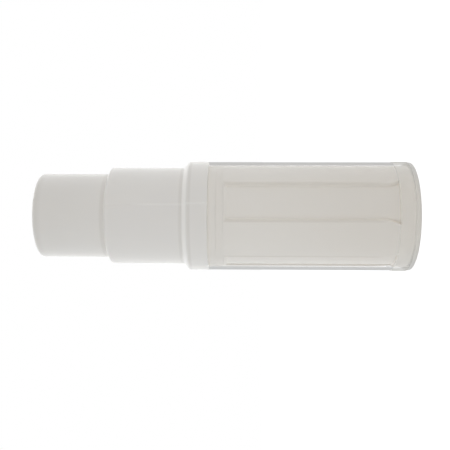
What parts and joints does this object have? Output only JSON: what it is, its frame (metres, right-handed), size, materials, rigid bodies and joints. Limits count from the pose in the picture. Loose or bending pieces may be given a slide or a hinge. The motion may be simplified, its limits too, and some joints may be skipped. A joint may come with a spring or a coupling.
{
  "type": "saliva ejector tip",
  "caption": "Stepped round suction adapter tip with a straw spigot, shoulder and collar, a clear sleeve over a padded core tube, and an end ring.",
  "frame": {"origin": "centre of the end ring's rear face, on the surface that the tip stands on", "axes": "+Z along the tip's axis from the end ring to the straw spigot; the mould parting plane is x = 0"},
  "size_m": [0.0142, 0.0142, 0.0485],
  "materials": {
    "white_plastic": "satin moulded, slightly translucent white",
    "core_plastic": "warm white moulded",
    "clear_plastic": "clear polished",
    "natural_plastic": "natural translucent moulded",
    "silicone": "translucent silicone",
    "rubber": "black O-ring rubber",
    "stainless_steel": "bright pressed stainless"
  },
  "bodies": {
    "core": {"core_tube": "core_plastic", "window_sleeve": "clear_plastic", "end_ring": "natural_plastic", "front_seal_ring": "silicone", "nozzle_o_ring": "rubber", "spout_o_ring_rear": "rubber", "spout_o_ring_front": "rubber"},
    "nozzle": {"nozzle": "white_plastic", "straw_seal": "silicone"},
    "screen": {"debris_screen": "stainless_steel"}
  },
  "joints": [
    {"name": "nozzle_pull", "type": "slide", "parent": "core", "child": "nozzle", "axis": [0, 0, 1], "range_m": [0, 0.006]},
    {"name": "screen_lift", "type": "slide", "parent": "core", "child": "screen", "axis": [0, 0, 1], "range_m": [0, 0.0045]}
  ]
}
